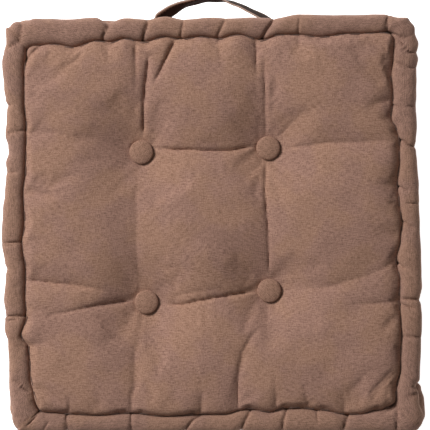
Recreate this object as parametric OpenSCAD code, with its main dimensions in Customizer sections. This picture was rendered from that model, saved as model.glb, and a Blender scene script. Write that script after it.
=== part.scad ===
// Square floor cushion: two tufted panels and four gussets of canvas, joined by stuffed edge rolls,
// filled with fibre, held together by four pairs of covered buttons on twine, with a carrying strap.
// Millimetres. The cushion lies on the floor: +Z is up, +Y is the strap side, and the origin is
// the middle of the flat underside.

/* [Cushion] */
// Width across the edge rolls
cushion_w = 400; // [320:5:650]
// Depth across the edge rolls, front to back
cushion_d = 400; // [320:5:650]
// Height of the top rolls above the floor
side_h = 76; // [70:1:160]
// Rise of the top panel from its seam to its middle
crown_rise = 12; // [6:1:24]
// How far the weight of the cushion presses the base panel flat
base_press = 5; // [3:0.5:8]
// Distance of a panel's seam beyond the middle of its roll
seam_step = 4; // [2:0.5:6]
// Plan radius of the panels' corners
panel_corner_r = 6; // [4:1:20]
// Thickness of the cover cloth
cloth_t = 1; // [0.6:0.1:1.6]

/* [Edge rolls and gussets] */
// Diameter of the stuffed edge rolls
roll_d = 24; // [18:1:28]
// How far the weight of the cushion presses the base rolls flat
roll_press = 1.2; // [0.6:0.1:2]
// Inset of the gussets from the outside of the rolls
gusset_inset = 6; // [4:0.5:8]

/* [Tufting] */
// Distance between the two columns of buttons
button_pitch_x = 120; // [80:2:160]
// Distance between the two rows of buttons
button_pitch_y = 141; // [80:1:160]
// Depth of the top button seats below the crown
top_tuft_depth = 16; // [10:1:24]
// Height of the base button seats above the floor
base_tuft_depth = 11; // [9:1:16]
// Radius over which the cloth falls to a button
tuft_r = 52; // [36:1:60]

/* [Covered buttons] */
// Diameter over the button's cloth
button_d = 23; // [19:0.5:29]
// Height of the straight rim of the button
button_rim_h = 3.2; // [2.6:0.1:5]
// Rise of the button's dome above its rim
button_dome_h = 2.4; // [1.2:0.1:4]
// Width of the cloth that turns in under the button
button_hem_w = 2.1; // [1.4:0.1:3]
// Thickness of the button's cloth
button_cloth_t = 0.6; // [0.4:0.1:0.8]
// Thickness of the button's metal shell
shell_t = 0.4; // [0.3:0.1:0.6]
// Thickness of the button's metal back
back_t = 0.8; // [0.5:0.1:1.2]
// Diameter of the wire of the shank
shank_wire_d = 1; // [0.8:0.1:1.4]
// Inside width of the shank's eye
shank_eye_w = 3.4; // [3:0.1:5]
// Length of the shank's straight legs below the button
shank_leg = 1.6; // [1.4:0.1:3]
// Diameter of the tufting twine
twine_d = 1.6; // [1:0.1:2]

/* [Strap handle] */
// Distance between the two fold lines of the strap
handle_span = 118; // [90:2:160]
// Distance of the strap's middle from the middle of the back, along X
handle_shift = 4; // [-20:1:20]
// How far the middle of the strap stands off from its fold lines
handle_reach = 23; // [18:1:40]
// Width of the strap
handle_w = 22; // [14:1:24]
// Thickness of the folded strap
handle_t = 2.4; // [1.6:0.2:3.2]
// Length of each sewn-down end
tab_l = 16; // [12:1:24]
// Length of strap beyond each fold line that the sewn end holds still
root_l = 9; // [7:0.5:14]

/* [Stitching] */
// Diameter of the sewing thread
thread_d = 0.8; // [0.5:0.1:1]
// Visible length of one edge stitch
edge_stitch_l = 9; // [4:0.5:11]
// Distance from one edge stitch to the next
edge_stitch_pitch = 14; // [13:0.5:20]
// Distance of the edge stitches from a panel's seam
edge_stitch_inset = 2; // [1.5:0.5:4]
// Visible length of one stitch on the strap
strap_stitch_l = 3; // [2:0.5:3.5]
// Distance from one stitch to the next on the strap
strap_stitch_pitch = 4; // [4:0.5:6]

/* [Hidden] */
SIDES = ["front", "right", "back", "left"];
LEVELS = ["base", "top"];
TUFTS = ["front_left", "front_right", "back_left", "back_right"];
ENDS = ["left", "right"];

$fn = 64;
canvas = "#907061";
button_canvas = "#8c6c5c";
strap_canvas = "#6a5044";
fibre = "#f1eee6";
jute = "#b79a6c";
metal = "#b9bcc0";
thread = "#57392d";

// Clearance between pieces that lie against each other
fit_gap = 0.1;
// Clearance between the still ends of the strap and its swinging loop
swing_gap = 0.5;
// How far each hand-tied tuft sits from its place in an even grid
tuft_drift = [[-3, -5], [-5, 6], [-8, -2], [-6, 2]];
// Number of segments of the large arcs
fine = 256;

roll_r = roll_d / 2;
roll_corner_r = panel_corner_r + roll_r;
roll_z = [roll_r - roll_press, side_h - roll_r];
middle_z = (roll_z[0] + roll_z[1]) / 2;
seam_z = [roll_z[0] - seam_step, roll_z[1] + seam_step];
crown_z = seam_z[1] + crown_rise;
rise = [seam_z[0] + base_press, crown_rise];
panel_inset = roll_d + fit_gap;
panel_w = cushion_w - 2 * panel_inset;
panel_d = cushion_d - 2 * panel_inset;

tuft_depth = [base_tuft_depth, top_tuft_depth];
seat_z = [base_tuft_depth, crown_z - top_tuft_depth];
button_r = button_d / 2;
seat_r = button_r + 1;
button_h = button_rim_h + button_dome_h;
shank_r = (shank_eye_w + shank_wire_d) / 2;
// Depth of the middle of the eye's lowest wire below the button
eye_drop = shank_leg + shank_r;
twine_turn_r = (shank_wire_d + twine_d) / 2 + 0.2;
channel_r = max(shank_r + shank_wire_d / 2, twine_turn_r + twine_d / 2) + 0.7;

back_face_y = cushion_d / 2 - gusset_inset;
strap_y = back_face_y + fit_gap + handle_t / 2;
strap_r = (pow(handle_span / 2, 2) + pow(handle_reach, 2)) / (2 * handle_reach);
strap_centre_y = strap_y + handle_reach - strap_r;
loop_half = handle_span / 2 - root_l;

// Radius of the arc that rises by rise over the distance run, level at its top
function arc_r(run, rise) = (run * run + rise * rise) / (2 * rise);

// Fall of that arc at the distance x from its top
function arc_fall(r, x) = r - sqrt(r * r - x * x);

// Middle of one tuft in plan: i counts front left, front right, back left, back right
function tuft_xy(i) = [
    (i % 2 - 0.5) * button_pitch_x + tuft_drift[i][0],
    (floor(i / 2) - 0.5) * button_pitch_y + tuft_drift[i][1]
];

// Length of one side of the cushion, and the size across it: k counts front, right, back, left
function side_l(k) = k % 2 == 0 ? cushion_w : cushion_d;
function side_across(k) = side_l(k + 1);

// Rectangle with round corners
module rounded_rect(w, d, r) {
    square([w - 2 * r, d], center = true);
    square([w, d - 2 * r], center = true);
    for (x = [-1, 1], y = [-1, 1])
        translate([x * (w / 2 - r), y * (d / 2 - r)]) circle(r);
}

// Turns what is drawn for the front to side k
module at_side(k) {
    rotate([0, 0, 90 * k]) children();
}

// Turns what is drawn with its seat at z = 0 and its face up into a tuft's place, base or top
module at_tuft(level, i) {
    translate(concat(tuft_xy(i), [seat_z[level]])) mirror([0, 0, 1 - level]) children();
}

// Part of the plan that belongs to side k, mitred at the corners with a clearance
module side_wedge(k) {
    l = side_l(k) / 2;
    y = side_across(k) / 2;
    reach = min(l, y) - 1;
    polygon([
        [fit_gap - l - 1, -y - 1], [l + 1 - fit_gap, -y - 1],
        [l - reach - fit_gap, reach - y], [reach - l + fit_gap, reach - y]
    ]);
}

// Straight stretch of a round bar along side k
module roll_straight(k, z, r) {
    l = side_l(k) - 2 * (roll_r + roll_corner_r);
    at_side(k) translate([0, roll_r - side_across(k) / 2, z]) rotate([0, 90, 0])
        cylinder(h = l, r = r, center = true);
}

// Bend of a round bar at one end of side k, from the straight stretch on: end is 0 or 1
module roll_bend(k, end, z, r, angle) {
    x = side_l(k) / 2 - roll_r - roll_corner_r;
    y = roll_r + roll_corner_r - side_across(k) / 2;
    at_side(k) mirror([end, 0, 0]) translate([x, y, z]) rotate([0, 0, -90])
        rotate_extrude(angle = angle) translate([roll_corner_r, 0]) circle(r);
}

// Round bar along side k, mitred at the corners, and flat at the height foot where it would reach lower
module roll_bar(k, z, r, foot) {
    mitre_gap = 0.3;
    l = 2 * max(cushion_w, cushion_d);
    intersection() {
        union() {
            roll_straight(k, z, r);
            for (end = [0, 1]) roll_bend(k, end, z, r, 45 - mitre_gap);
        }
        if (z - r < foot) translate([-l / 2, -l / 2, foot]) cube(l);
    }
}

// Space that the eight rolls take, with their clearance
module roll_space() {
    for (z = roll_z, k = [0:3]) {
        roll_straight(k, z, roll_r + fit_gap);
        roll_bend(k, 0, z, roll_r + fit_gap, 90);
    }
}

// Hollow round a button: its seat is at z = 0, and it widens upwards to tuft_r at the given height
module tuft_bell(height) {
    r = arc_r(tuft_r - seat_r, height);
    rotate_extrude() difference() {
        square([tuft_r, height + 30]);
        translate([tuft_r, height - r]) circle(r, $fn = fine);
    }
}

// Hollows round the four buttons of one panel, this depth below the panel's face
module tuft_hollows(level, depth) {
    for (i = [0:3])
        translate([0, 0, level == 0 ? depth : -depth]) at_tuft(level, i) tuft_bell(tuft_depth[level]);
}

// Crowned block from the middle of the cushion up or down to one panel, made smaller by inset in plan
// and by depth below the panel's face
module panel_block(level, inset, depth) {
    w = panel_w - 2 * inset;
    d = panel_d - 2 * inset;
    w_r = arc_r(panel_w / 2, rise[level]);
    d_r = arc_r(panel_d / 2, rise[level]);
    l = 2 * max(cushion_w, cushion_d);
    top_z = level == 0 ? rise[0] - seam_z[0] : crown_z;
    mirror([0, 0, 1 - level]) intersection() {
        translate([0, 0, level == 0 ? -middle_z : middle_z])
            linear_extrude(l) rounded_rect(w, d, panel_corner_r - inset);
        translate([0, 0, top_z - depth - w_r]) rotate([90, 0, 0])
            cylinder(h = l, r = w_r, center = true, $fn = fine);
        translate([0, 0, top_z - depth - d_r]) rotate([0, 90, 0])
            cylinder(h = l, r = d_r, center = true, $fn = fine);
        if (level == 0) translate([-l / 2, -l / 2, -l - depth]) cube(l);
    }
}

// Holes for the twine and the shanks through everything between the buttons
module channels() {
    for (i = [0:3])
        translate(concat(tuft_xy(i), [-1])) cylinder(h = crown_z + 2, r = channel_r);
}

// Half section of a domed disc: straight to the height rim, then domed to the height top
module domed_section(r, rim, top) {
    dome_r = arc_r(r, top - rim);
    intersection() {
        square([r, top]);
        translate([0, top - dome_r]) circle(dome_r, $fn = fine);
    }
}

// Ring segment of the strap's arc between two places along X, seen from above
module strap_arc(x_low, x_high) {
    translate([0, 0, middle_z - handle_w / 2]) linear_extrude(handle_w) intersection() {
        difference() {
            translate([handle_shift, strap_centre_y]) circle(strap_r + handle_t / 2, $fn = fine);
            translate([handle_shift, strap_centre_y]) circle(strap_r - handle_t / 2, $fn = fine);
        }
        translate([handle_shift + x_low, strap_y]) square([x_high - x_low, handle_reach + handle_t]);
    }
}

// ---- Sub-parts ----

// One tufted cloth panel: level 0 is the base, 1 the top
module panel(level) {
    color(canvas) difference() {
        panel_block(level, 0, 0);
        tuft_hollows(level, 0);
        difference() {
            panel_block(level, -1, cloth_t);
            tuft_hollows(level, cloth_t);
        }
        channels();
    }
}

module filling() {
    color(fibre) difference() {
        union() {
            for (level = [0, 1]) panel_block(level, cloth_t, cloth_t + fit_gap);
            waist = gusset_inset + cloth_t + fit_gap;
            translate([0, 0, roll_z[0]]) linear_extrude(roll_z[1] - roll_z[0])
                rounded_rect(cushion_w - 2 * waist, cushion_d - 2 * waist,
                             roll_corner_r + roll_r - waist);
        }
        for (level = [0, 1]) tuft_hollows(level, cloth_t + fit_gap);
        roll_space();
        channels();
    }
}

module gusset(k) {
    inner = gusset_inset + cloth_t;
    color(canvas) difference() {
        translate([0, 0, roll_z[0]]) linear_extrude(roll_z[1] - roll_z[0]) intersection() {
            difference() {
                rounded_rect(cushion_w - 2 * gusset_inset, cushion_d - 2 * gusset_inset,
                             roll_corner_r + roll_r - gusset_inset);
                rounded_rect(cushion_w - 2 * inner, cushion_d - 2 * inner,
                             roll_corner_r + roll_r - inner);
            }
            at_side(k) side_wedge(k);
        }
        roll_space();
    }
}

// Cloth tube of one edge roll
module roll(level, k) {
    color(canvas) difference() {
        roll_bar(k, roll_z[level], roll_r, 0);
        roll_bar(k, roll_z[level], roll_r - cloth_t, cloth_t);
    }
}

module roll_wadding(level, k) {
    color(fibre) roll_bar(k, roll_z[level], roll_r - cloth_t - fit_gap, cloth_t + fit_gap);
}

// Cloth over a button, turned in under its rim
module button_cover() {
    color(button_canvas) translate([0, 0, fit_gap]) rotate_extrude() difference() {
        domed_section(button_r, button_rim_h, button_h);
        difference() {
            domed_section(button_r - button_cloth_t, button_rim_h, button_h - button_cloth_t);
            square([button_r, button_cloth_t]);
        }
        square([button_r - button_hem_w, button_cloth_t]);
    }
}

// Domed metal shell under the button's cloth
module button_shell() {
    outer_r = button_r - button_cloth_t - fit_gap;
    outer_h = button_h - button_cloth_t - fit_gap;
    color(metal) translate([0, 0, fit_gap]) rotate_extrude() difference() {
        domed_section(outer_r, button_rim_h, outer_h);
        domed_section(outer_r - shell_t, button_rim_h, outer_h - shell_t);
        square([button_r, button_cloth_t + fit_gap]);
    }
}

// Metal back plate that closes the button, with the wire eye of the shank
module button_back() {
    color(metal) translate([0, 0, fit_gap]) {
        cylinder(h = back_t, r = button_r - button_hem_w - fit_gap);
        for (x = [-1, 1])
            translate([x * shank_r, 0, -shank_leg]) cylinder(h = shank_leg + back_t / 2, d = shank_wire_d);
        translate([0, 0, -shank_leg]) rotate([90, 0, 0]) rotate([0, 0, 180])
            rotate_extrude(angle = 180) translate([shank_r, 0]) circle(d = shank_wire_d);
    }
}

// Twine of one tuft: two strands, turned round the wire of both shanks
module tuft_twine(i) {
    z = [seat_z[0] - fit_gap + eye_drop, seat_z[1] + fit_gap - eye_drop];
    color(jute) translate(tuft_xy(i)) {
        for (y = [-1, 1])
            translate([0, y * twine_turn_r, z[0]]) cylinder(h = z[1] - z[0], d = twine_d);
        for (level = [0, 1])
            translate([0, 0, z[level]]) rotate([90, 0, 90]) rotate([0, 0, level == 0 ? 180 : 0])
                rotate_extrude(angle = 180) translate([twine_turn_r, 0]) circle(d = twine_d);
    }
}

// Loop of the strap that swings
module handle_strap() {
    color(strap_canvas) strap_arc(swing_gap / 2 - loop_half, loop_half - swing_gap / 2);
}

// Sewn-down end of the strap, with the stretch beyond the fold that it holds still: end is -1 or 1
module handle_tab(end) {
    x = [loop_half + swing_gap / 2, handle_span / 2 + handle_t];
    color(strap_canvas) {
        if (end < 0) strap_arc(-x[1], -x[0]); else strap_arc(x[0], x[1]);
        translate([handle_shift + end * (handle_span + tab_l) / 2, strap_y, middle_z])
            cube([tab_l, handle_t, handle_w], center = true);
    }
}

// Two rows of stitches across each sewn-down end
module handle_stitching() {
    count = floor((handle_w - strap_stitch_l) / strap_stitch_pitch);
    color(thread)
        for (end = [-1, 1], row = [0.25, 0.75], i = [0:count - 1])
            translate([handle_shift + end * (handle_span / 2 + row * tab_l),
                       strap_y + (handle_t + thread_d) / 2 + fit_gap,
                       middle_z + (i - (count - 1) / 2) * strap_stitch_pitch])
                cylinder(h = strap_stitch_l, d = thread_d, center = true, $fn = 16);
}

// Row of stitches round the edge of one panel
module edge_stitching(level) {
    out = level == 0 ? -1 : 1;
    color(thread) for (k = [0:3]) {
        l = side_l(k) - 2 * panel_inset;
        half = side_across(k) / 2 - panel_inset;
        count = floor((l - 2 * edge_stitch_pitch) / edge_stitch_pitch);
        r = arc_r(half, rise[level]);
        z = seam_z[level] + out * (rise[level] - arc_fall(r, half - edge_stitch_inset));
        for (i = [0:count - 1])
            at_side(k) translate([(i - (count - 1) / 2) * edge_stitch_pitch, edge_stitch_inset - half,
                                  z + out * (thread_d / 2 + fit_gap)])
                rotate([0, 90, 0]) cylinder(h = edge_stitch_l, d = thread_d, center = true, $fn = 16);
    }
}

panel(1);  // top_panel
panel(0);  // base_panel
filling();
for (k = [0:3]) {
    gusset(k);
    for (level = [0, 1]) {
        roll_name = str(LEVELS[level], "_", SIDES[k], "_roll");
        roll(level, k);
        roll_wadding(level, k);
    }
}
for (i = [0:3]) {
    for (level = [0, 1]) {
        button_name = str(LEVELS[level], "_", TUFTS[i], "_button");
        at_tuft(level, i) button_cover();
        at_tuft(level, i) button_shell();
        at_tuft(level, i) button_back();
    }
    tuft_twine(i);
}
handle_strap();
for (i = [0, 1])
    handle_tab(2 * i - 1);
handle_stitching();
for (level = [0, 1])
    edge_stitching(level);
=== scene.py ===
"""Square tufted floor cushion of slubby brown canvas, with stuffed rolled edges and a carrying strap."""

import math

import bmesh
import bpy
import numpy as np
from mathutils import Matrix, Vector


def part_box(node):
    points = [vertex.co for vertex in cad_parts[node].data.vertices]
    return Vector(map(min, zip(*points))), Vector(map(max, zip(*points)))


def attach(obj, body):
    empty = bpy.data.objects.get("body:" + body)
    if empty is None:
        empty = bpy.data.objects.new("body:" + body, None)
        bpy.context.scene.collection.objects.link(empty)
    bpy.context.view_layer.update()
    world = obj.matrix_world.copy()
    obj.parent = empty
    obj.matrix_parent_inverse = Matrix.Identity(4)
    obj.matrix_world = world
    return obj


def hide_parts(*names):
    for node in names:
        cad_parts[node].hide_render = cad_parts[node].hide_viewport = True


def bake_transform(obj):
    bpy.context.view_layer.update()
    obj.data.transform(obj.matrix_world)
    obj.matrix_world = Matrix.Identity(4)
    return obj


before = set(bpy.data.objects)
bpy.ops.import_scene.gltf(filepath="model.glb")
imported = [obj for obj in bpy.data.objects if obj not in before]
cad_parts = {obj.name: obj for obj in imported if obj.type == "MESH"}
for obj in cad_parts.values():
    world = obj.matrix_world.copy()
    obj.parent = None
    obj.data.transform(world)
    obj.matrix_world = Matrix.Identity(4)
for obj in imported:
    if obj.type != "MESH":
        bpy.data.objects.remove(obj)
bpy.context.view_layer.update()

MM = 0.001

# ---- Places and sizes taken from the frame ----

SIDES = ("front", "right", "back", "left")
TUFTS = ("front_left", "front_right", "back_left", "back_right")
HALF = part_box("top_right_roll")[1].x
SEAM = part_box("top_panel")[1].x
ROLL_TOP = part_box("top_front_roll")[1].z
ROLL_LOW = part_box("top_front_roll")[0].z
ROLL_R = (ROLL_TOP - ROLL_LOW) / 2
ROLL_Z = (ROLL_TOP - ROLL_R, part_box("base_front_roll")[1].z - ROLL_R)
MIDDLE_Z = (ROLL_Z[0] + ROLL_Z[1]) / 2
GUSSET_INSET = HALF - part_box("right_gusset")[1].x


def middle(node):
    """Middle of a CAD node's box."""
    low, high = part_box(node)
    return (low + high) / 2


TUFT_AT = {tuft: middle(f"top_{tuft}_button_cover") for tuft in TUFTS}
BUTTON_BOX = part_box("top_front_left_button_cover")
BUTTON_R = (BUTTON_BOX[1].x - BUTTON_BOX[0].x) / 2
SEAT = (BUTTON_BOX[0].z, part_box("base_front_left_button_cover")[1].z)

# ---- Shape of the stitched seam and of the rolls, in millimetres ----
# For each side: (place along the side, shift of the seam outwards), from its low end to its high end

SEAM_SHIFT = {
    "back": [(-170, -5), (-150, -4), (-133, -7), (-110, -1), (-97, -2), (-84, 1), (-65, -2), (-45, 3),
             (-30, 1), (-10, 3), (6, 1), (25, 5), (48, 0), (66, 5), (84, 5), (104, 3), (132, 6), (165, 7)],
    "front": [(-165, 5), (-138, 7), (-110, 8), (-77, 6), (-45, 9), (-12, 7), (10, 7), (36, 2),
              (55, 5), (71, 1), (84, 1), (104, 3), (128, 7), (141, 7), (160, 3), (170, -1)],
    "left": [(-172, -8), (-160, -5), (-146, -2), (-130, -1), (-118, 0), (-106, 7), (-90, 2), (-70, 3),
             (-45, 3), (-18, 6), (0, 4), (30, 5), (50, 3), (86, 2), (120, 4), (150, 4), (165, 2)],
    "right": [(-170, 1), (-161, 1), (-137, 5), (-108, 6), (-73, 4), (-55, 5), (-37, 1), (-15, 5),
              (1, 6), (20, 4), (36, 2), (60, 4), (79, 4), (90, 1), (101, -4), (112, -3), (120, -2),
              (140, -4), (158, -2), (170, -1)],
}
# The same for the outside of the rolls
OUTER_SHIFT = {
    "back": [(-180, -6), (-170, -3), (-140, -4), (-112, -2), (-100, -7), (-84, -3), (-62, -4), (-45, -1),
             (-28, -4), (0, -2), (13, -3), (40, -2), (60, -3), (84, 1), (130, 0), (165, 1), (180, -2)],
    "front": [(-180, 1), (-146, 1), (-139, -1), (-132, 1), (-84, 1), (-77, -0.5), (-70, 1.5), (-34, 1),
              (-27, -1), (-20, 1), (20, 1), (28, -1), (36, 1), (62, 1), (68, -0.5), (74, 1), (122, 1),
              (128, -1), (134, 1), (180, 1)],
    "left": [(-180, -8), (-165, -6), (-140, -5), (-116, -4), (-102, -1), (-92, -1), (-88, -2), (-73, 0),
             (-50, -2), (-44, -3), (-38, -1), (-20, 2), (-4, 2), (12, 1), (28, -1), (44, -2), (50, -3),
             (58, -2), (68, -4.5), (74, -4), (85, -1), (99, -2.5), (109, -3), (113, -4), (118, -2), (130, 0),
             (155, 2), (168, 0), (173, -2), (182, -2)],
    "right": [(-185, 3), (-172, -1), (-164, -1), (-157, -4), (-150, 0), (-116, 1), (-90, 2), (-78, 1),
              (-74, 0), (-59, 2), (-30, 1), (-8, 0), (19, -1), (36, -1), (60, -3), (70, -4), (74, -5),
              (80, -4), (95, -3), (111, -4), (140, -3.5), (150, -3), (158, -2),
              (164, -3), (172, -2), (184, -5)],
}
BASE_OUTER_SHIFT = {
    "back": [(-170, -3), (-90, -1), (-20, -4), (60, -2), (130, -4), (170, -5)],
    "front": [(-170, -4), (-100, -3), (-20, -4), (40, -5), (110, -3), (170, 1)],
    "left": [(-170, -10), (-110, -6), (-50, -4), (20, -4), (90, -5), (170, -5)],
    "right": [(-186, 9), (-172, 8), (-161, 5), (-152, -1), (-140, -3), (-60, -4), (20, -4), (90, -5),
              (170, -7)],
}

# Folds that draw the panel down between the buttons and the seam: (points, depth of the valley as a
# share of the panel's loft at both ends, its width, depth of the sharp crease at both ends)
PANEL_FOLDS = [
    ([(-56, 72), (-30, 71), (-9, 70), (19, 70), (43, 75)], (0.48, 0.48), 21, (2.4, 2.0)),
    ([(-66, 84), (-65, 118), (-61, 158)], (0.40, 0.22), 18, (2.6, 1.8)),
    ([(-54, 136), (-45, 155), (-36, 174)], (0.04, 0.26), 9, (1.8, 3.2)),
    ([(-73, 128), (-73, 172)], (0.0, 0.16), 12, (0.4, 2.0)),
    ([(68, 72), (113, 77), (172, 79)], (0.34, 0.24), 17, (0.9, 0.3)),
    ([(65, 84), (78, 97), (92, 112)], (0.20, 0.0), 10, (0.6, 0.0)),
    ([(52, 86), (51, 118), (50, 157)], (0.34, 0.20), 16, (1.2, 0.8)),
    ([(43, 140), (42, 174)], (0.0, 0.30), 12, (0.3, 2.0)),
    ([(52, 60), (51, 31), (54, -8), (55, -48)], (0.48, 0.44), 21, (1.6, 1.2)),
    ([(-71, 56), (-72, 20), (-72, -20), (-70, -62)], (0.46, 0.46), 27, (0.2, 0.2)),
    ([(-48, -77), (-30, -78), (-1, -72), (42, -65)], (0.40, 0.42), 19, (1.2, 2.2)),
    ([(-34, -69), (-10, -64), (14, -62)], (0.04, 0.0), 8, (0.8, 0.2)),
    ([(-76, -74), (-112, -79), (-139, -85), (-162, -89)], (0.36, 0.02), 17, (2.6, 0.6)),
    ([(-88, -66), (-135, -59), (-177, -54)], (0.0, 0.26), 13, (0.0, 1.7)),
    ([(68, -64), (113, -60), (150, -49), (176, -37)], (0.34, 0.20), 20, (0.2, 0.2)),
    ([(122, -78), (150, -77), (180, -74)], (0.0, 0.26), 13, (0.1, 0.9)),
    ([(-80, 72), (-110, 80), (-174, 89)], (0.24, 0.07), 28, (0.1, 0.0)),
    ([(-66, -89), (-73, -121), (-77, -183)], (0.44, 0.14), 24, (0.2, 0.1)),
    ([(54, -77), (53, -104)], (0.32, 0.06), 17, (0.5, 0.1)),
    ([(50, -94), (38, -108), (29, -124), (25, -150), (25, -178)], (0.02, 0.22), 13, (0.1, 1.2)),
    ([(60, -140), (62, -178)], (0.0, 0.16), 11, (0.1, 0.7)),
    ([(88, -152), (92, -176)], (0.0, 0.15), 10, (0.1, 0.6)),
    ([(-82, 80), (-120, 118), (-150, 150)], (0.11, 0.0), 20, (0.0, 0.0)),
    ([(68, -78), (110, -120), (150, -155)], (0.08, 0.0), 20, (0.0, 0.0)),
    ([(-74, -86), (-120, -130), (-150, -160)], (0.06, 0.0), 22, (0.0, 0.0)),
    ([(-187, 148), (-176, 159), (-163, 172)], (0.12, 0.12), 4.0, (1.8, 1.8)),
    ([(-176, 30), (-150, 26)], (0.18, 0.0), 12, (0.6, 0.0)),
    ([(-177, -118), (-152, -112)], (0.2, 0.0), 10, (0.9, 0.0)),
    ([(172, 119), (146, 112)], (0.2, 0.0), 10, (0.7, 0.0)),
    ([(178, 36), (150, 38)], (0.18, 0.0), 11, (0.6, 0.0)),
    ([(-100, 176), (-98, 150)], (0.2, 0.0), 11, (0.9, 0.0)),
    ([(6, 178), (8, 150)], (0.18, 0.0), 10, (0.8, 0.0)),
    ([(84, 181), (82, 158)], (0.15, 0.0), 10, (0.6, 0.0)),
    ([(-138, -183), (-134, -158)], (0.18, 0.0), 11, (0.6, 0.0)),
    ([(-12, -184), (-8, -156)], (0.2, 0.0), 11, (0.7, 0.0)),
    ([(128, -182), (124, -156)], (0.22, 0.0), 11, (0.9, 0.0)),
]

# Pinches across the top rolls: (points from the seam to the outside, depth, width of the crease)
ROLL_FOLDS = [
    ([(-184, 172), (-183, 197)], 3.2, 2.0),
    ([(-104, 175), (-98, 197)], 3.6, 2.0),
    ([(-66, 173), (-61, 199)], 5.0, 1.6),
    ([(-30, 177), (-27, 199)], 2.4, 1.8),
    ([(5, 178), (14, 199)], 2.4, 2.0),
    ([(47, 175), (54, 187), (62, 201)], 6.5, 1.7),
    ([(82, 179), (84, 197)], 1.4, 1.8),
    ([(166, 183), (170, 201)], 3.4, 2.0),
    ([(166, 183), (180, 178), (190, 180)], 2.6, 1.6),
    ([(176, 176), (190, 165), (201, 164)], 3.2, 1.5),
    ([(-202, 168), (-184, 174)], 3.8, 1.8),
    ([(-202, 113), (-192, 114)], 1.8, 1.6),
    ([(-199, 86), (-178, 89)], 1.8, 2.0),
    ([(-202, 49), (-188, 49)], 1.8, 1.6),
    ([(-205, -19), (-182, -18)], 2.6, 1.5),
    ([(-203, -22), (-189, -21)], 1.6, 1.2),
    ([(-203, -90), (-178, -88)], 3.2, 1.5),
    ([(-199, -94), (-186, -92)], 1.8, 1.2),
    ([(-199, -110), (-189, -116), (-177, -119)], 2.0, 1.6),
    ([(-190, -151), (-174, -160)], 3.2, 1.8),
    ([(-177, -194), (-167, -184)], 1.7, 1.4),
    ([(-171, -196), (-178, -188), (-190, -184)], 1.3, 1.3),
    ([(-160, -182), (-156, -190), (-162, -198)], 1.5, 1.4),
    ([(176, 153), (200, 149)], 2.4, 1.8),
    ([(171, 114), (182, 109)], 1.6, 1.6),
    ([(189, 113), (200, 111)], 1.8, 1.4),
    ([(178, 80), (200, 72)], 3.8, 1.8),
    ([(176, 36), (187, 31)], 2.4, 1.6),
    ([(186, 19), (202, 19)], 2.0, 1.4),
    ([(182, 2), (193, -5)], 2.6, 1.6),
    ([(175, -36), (184, -44)], 2.8, 1.6),
    ([(182, -72), (205, -74)], 3.8, 1.6),
    ([(181, -77), (194, -82)], 2.2, 1.4),
    ([(184, -108), (203, -110)], 2.4, 1.6),
    ([(194, -158), (204, -153)], 3.6, 1.6),
    ([(186, -167), (200, -163)], 2.2, 1.4),
    ([(177, -176), (178, -202)], 3.0, 1.6),
    ([(166, -181), (176, -174)], 1.6, 1.4),
    ([(-138, -181), (-140, -201)], 2.8, 1.8),
    ([(-77, -181), (-78, -201)], 2.2, 1.8),
    ([(-10, -182), (-18, -188), (-27, -201)], 3.2, 1.8),
    ([(37, -177), (27, -201)], 3.2, 1.8),
    ([(71, -176), (67, -201)], 2.8, 1.8),
    ([(129, -180), (127, -201)], 4.0, 1.8),
    ([(100, -178), (101, -190)], 1.4, 1.6),
]


# ---- Helpers for surfaces worked out in code ----


def smooth(low, high, value):
    """Smooth step from 0 at low to 1 at high."""
    t = np.clip((value - low) / (high - low), 0.0, 1.0)
    return t * t * (3 - 2 * t)


def ripple(x, y, wavelength, seed, waves=7):
    """Soft irregular ripple between about -1 and 1, the same each run."""
    rng = np.random.default_rng(seed)
    total = 0.0
    for angle, phase, size in zip(rng.uniform(0, math.tau, waves), rng.uniform(0, math.tau, waves),
                                  rng.uniform(0.75, 1.4, waves)):
        k = math.tau / (wavelength * size)
        total = total + np.cos(k * (x * math.cos(angle) + y * math.sin(angle)) + phase)
    return total / math.sqrt(waves)


def curve_value(knots, place):
    """Smooth value at each place between the (place, value) knots."""
    at = np.array([k[0] for k in knots], float)
    values = np.array([k[1] for k in knots], float)
    i = np.clip(np.searchsorted(at, place) - 1, 0, len(at) - 2)
    t = np.clip((place - at[i]) / (at[i + 1] - at[i]), 0.0, 1.0)
    t = t * t * (3 - 2 * t)
    return values[i] * (1 - t) + values[i + 1] * t


def to_line(x, y, points):
    """Distance of each place from a polyline, and how far along it the nearest point is, from 0 to 1."""
    pts = np.array(points, float)
    lengths = np.hypot(*(pts[1:] - pts[:-1]).T)
    done = np.concatenate([[0], np.cumsum(lengths)])
    best = np.full(np.shape(x), 1e9)
    along = np.zeros(np.shape(x))
    for i in range(len(lengths)):
        d = (pts[i + 1] - pts[i]) / lengths[i]
        t = np.clip((x - pts[i][0]) * d[0] + (y - pts[i][1]) * d[1], 0, lengths[i])
        away = np.hypot(x - pts[i][0] - t * d[0], y - pts[i][1] - t * d[1])
        nearer = away < best
        best = np.where(nearer, away, best)
        along = np.where(nearer, (done[i] + t) / done[-1], along)
    return best, along


def new_mesh(name, verts, faces, uv=None):
    """Object at the origin from points in metres, with a UV map if flat coordinates are given."""
    mesh = bpy.data.meshes.new(name)
    mesh.from_pydata([tuple(v) for v in verts], [], faces)
    if uv is not None:
        mark_cloth(mesh, uv)
    mesh.shade_smooth()
    return linked(name, mesh)


def mark_cloth(mesh, flat):
    """Gives a mesh the UV map of its cloth, from flat coordinates for each of its points."""
    layer = mesh.uv_layers.new(name="cloth")
    index = np.zeros(len(mesh.loops), np.int32)
    mesh.loops.foreach_get("vertex_index", index)
    layer.data.foreach_set("uv", np.asarray(flat, np.float32)[index].ravel())


def linked(name, mesh):
    """A new object of a mesh, put in the scene."""
    piece = bpy.data.objects.new(name, mesh)
    bpy.context.scene.collection.objects.link(piece)
    return piece


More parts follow.
